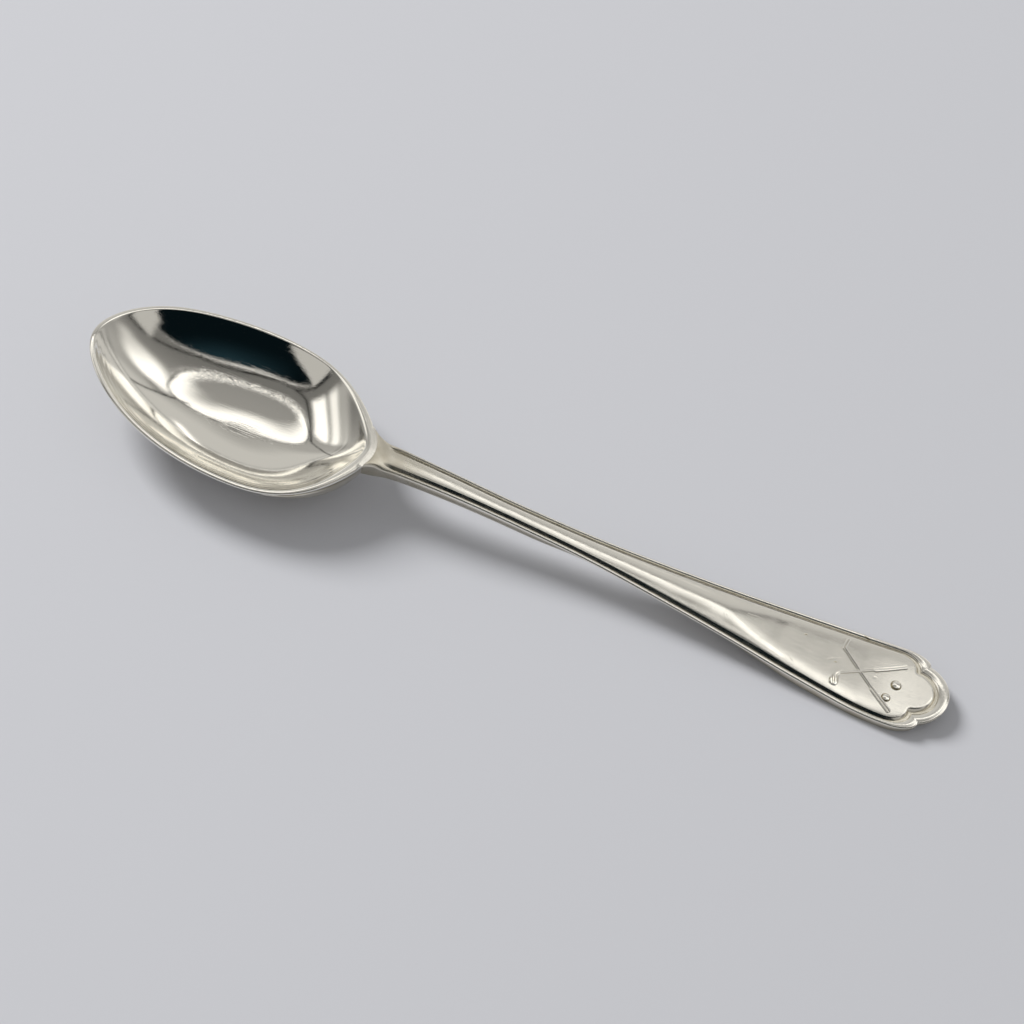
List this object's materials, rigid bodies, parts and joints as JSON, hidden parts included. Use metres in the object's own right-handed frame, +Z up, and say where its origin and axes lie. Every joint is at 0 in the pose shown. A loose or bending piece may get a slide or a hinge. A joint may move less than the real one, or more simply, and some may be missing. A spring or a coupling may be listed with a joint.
{
  "type": "teaspoon",
  "caption": "Teaspoon with a pointed oval bowl, reeded stem, raised panel and lobed end with a golf motif in relief.",
  "frame": {"origin": "on the surface the spoon rests on, under the middle of its overall length and width", "axes": "+X along the spoon from the bowl's tip to the end of the handle, +Y across it, +Z up with the bowl's hollow facing up"},
  "size_m": [0.116, 0.0244, 0.0082],
  "materials": {
    "bowl_plate": "polished silver plate with fine scratches",
    "handle_plate": "polished silver plate, a little worn and toned in the grooves",
    "motif_plate": "silver plate in low relief, toned round its edges"
  },
  "bodies": {
    "root": {"bowl": "bowl_plate", "heel_drop": "bowl_plate", "stem": "handle_plate", "terminal": "handle_plate", "stem_spine": "handle_plate", "terminal_panel": "handle_plate", "club_over": "motif_plate", "club_under": "motif_plate", "ball_far": "motif_plate", "ball_near": "motif_plate"}
  },
  "joints": []
}
